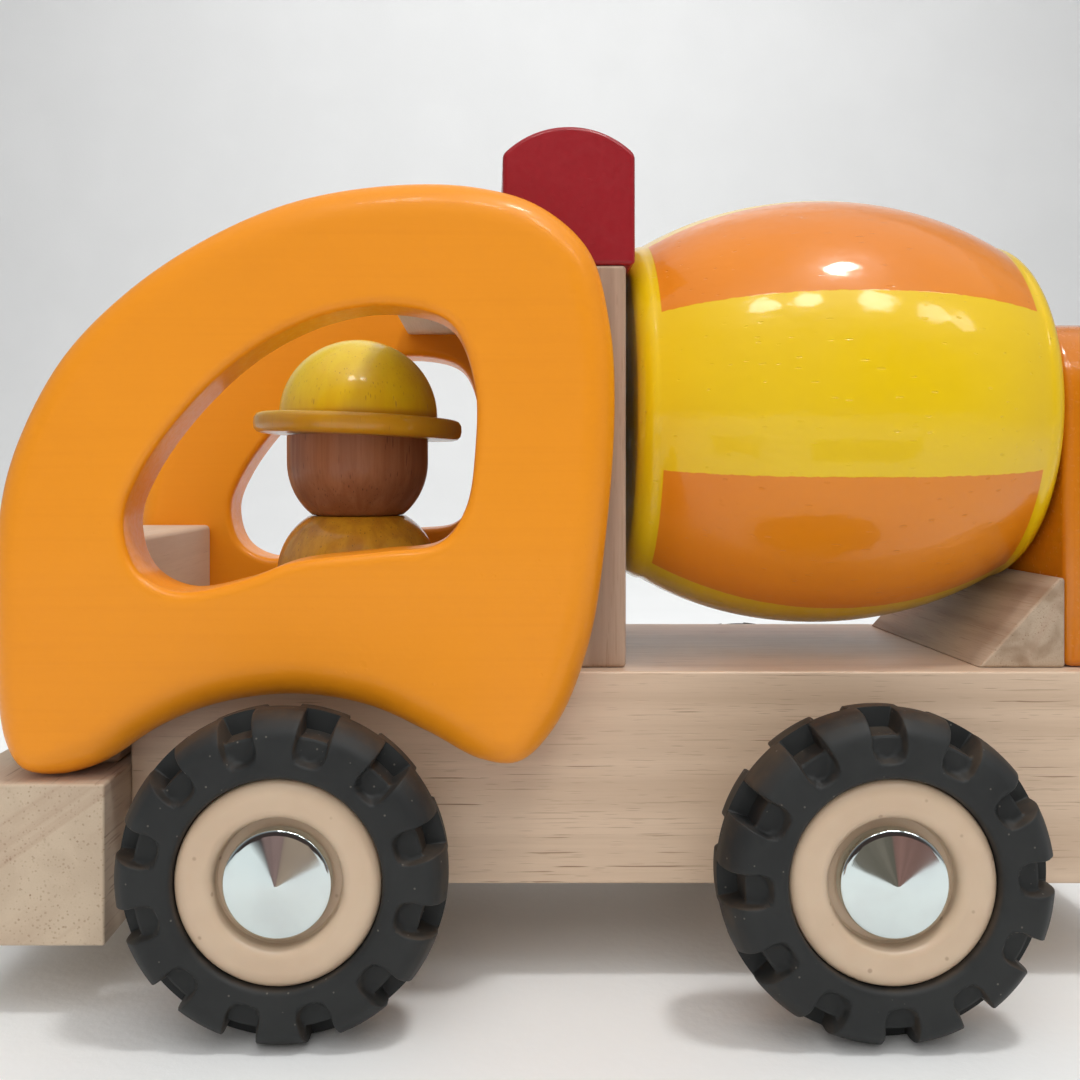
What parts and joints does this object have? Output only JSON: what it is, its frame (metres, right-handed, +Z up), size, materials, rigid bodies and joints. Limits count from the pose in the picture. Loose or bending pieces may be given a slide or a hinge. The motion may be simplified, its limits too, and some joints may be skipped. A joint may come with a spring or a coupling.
{
  "type": "toy cement mixer",
  "caption": "Wooden toy cement mixer truck: rounded cab sides with a peg driver, a turning barrel drum and free-rolling rubber-tyred wheels.",
  "frame": {"origin": "on the ground, in the middle of the truck's length and width", "axes": "+X towards the rear of the truck (its front faces -X), +Y to its right side, +Z up"},
  "size_m": [0.244, 0.1386, 0.1737],
  "materials": {
    "natural_wood": "sanded, unfinished",
    "board_wood": "sanded board edge",
    "orange_paint": "satin",
    "red_paint": "satin",
    "drum_paint": "gloss, yellow with orange panels",
    "yellow_stain": "stained and lacquered",
    "head_wood": "lacquered",
    "dowel_wood": "plain",
    "tyre_rubber": "matte",
    "rim_plastic": "satin",
    "cap_metal": "turned",
    "axle_steel": "drawn rod"
  },
  "bodies": {
    "chassis": {"chassis_block": "natural_wood", "front_bumper": "natural_wood", "hood_block": "natural_wood", "cab_panel_left": "orange_paint", "cab_panel_right": "orange_paint", "roof_board": "natural_wood", "back_panel": "board_wood", "roof_block": "red_paint", "drum_support": "orange_paint", "deck_wedge": "natural_wood", "drum_pin": "dowel_wood", "front_axle": "axle_steel", "rear_axle": "axle_steel", "bumper_dowel_left": "dowel_wood", "hood_dowel_left": "dowel_wood", "back_panel_dowel_left": "dowel_wood", "support_dowel_left": "dowel_wood", "roof_dowel_left": "dowel_wood", "panel_dowel_front_left": "dowel_wood", "panel_dowel_rear_left": "dowel_wood", "bumper_dowel_right": "dowel_wood", "hood_dowel_right": "dowel_wood", "back_panel_dowel_right": "dowel_wood", "support_dowel_right": "dowel_wood", "roof_dowel_right": "dowel_wood", "panel_dowel_front_right": "dowel_wood", "panel_dowel_rear_right": "dowel_wood", "hub_cap_front_left": "cap_metal", "spacer_front_left": "rim_plastic", "hub_cap_front_right": "cap_metal", "spacer_front_right": "rim_plastic", "hub_cap_rear_left": "cap_metal", "spacer_rear_left": "rim_plastic", "hub_cap_rear_right": "cap_metal", "spacer_rear_right": "rim_plastic"},
    "drum": {"drum": "drum_paint"},
    "driver": {"driver_peg": "dowel_wood", "driver_body": "yellow_stain", "driver_head": "head_wood", "driver_hat": "yellow_stain"},
    "wheel_front_left": {"tyre_front_left": "tyre_rubber", "rim_front_left": "rim_plastic"},
    "wheel_front_right": {"tyre_front_right": "tyre_rubber", "rim_front_right": "rim_plastic"},
    "wheel_rear_left": {"tyre_rear_left": "tyre_rubber", "rim_rear_left": "rim_plastic"},
    "wheel_rear_right": {"tyre_rear_right": "tyre_rubber", "rim_rear_right": "rim_plastic"}
  },
  "joints": [
    {"name": "drum_spin", "type": "hinge", "parent": "chassis", "child": "drum", "pos_m": [0.0542, 0, 0.1166], "axis": [1, 0, 0], "continuous": true},
    {"name": "driver_turn", "type": "hinge", "parent": "chassis", "child": "driver", "pos_m": [-0.0504, 0, 0.0626], "axis": [0, 0, 1], "continuous": true},
    {"name": "wheel_front_left_spin", "type": "hinge", "parent": "chassis", "child": "wheel_front_left", "pos_m": [-0.057, -0.06, 0.03], "axis": [0, 1, 0], "continuous": true},
    {"name": "wheel_front_right_spin", "type": "hinge", "parent": "chassis", "child": "wheel_front_right", "pos_m": [-0.057, 0.06, 0.03], "axis": [0, 1, 0], "continuous": true},
    {"name": "wheel_rear_left_spin", "type": "hinge", "parent": "chassis", "child": "wheel_rear_left", "pos_m": [0.0517, -0.06, 0.03], "axis": [0, 1, 0], "continuous": true},
    {"name": "wheel_rear_right_spin", "type": "hinge", "parent": "chassis", "child": "wheel_rear_right", "pos_m": [0.0517, 0.06, 0.03], "axis": [0, 1, 0], "continuous": true}
  ]
}
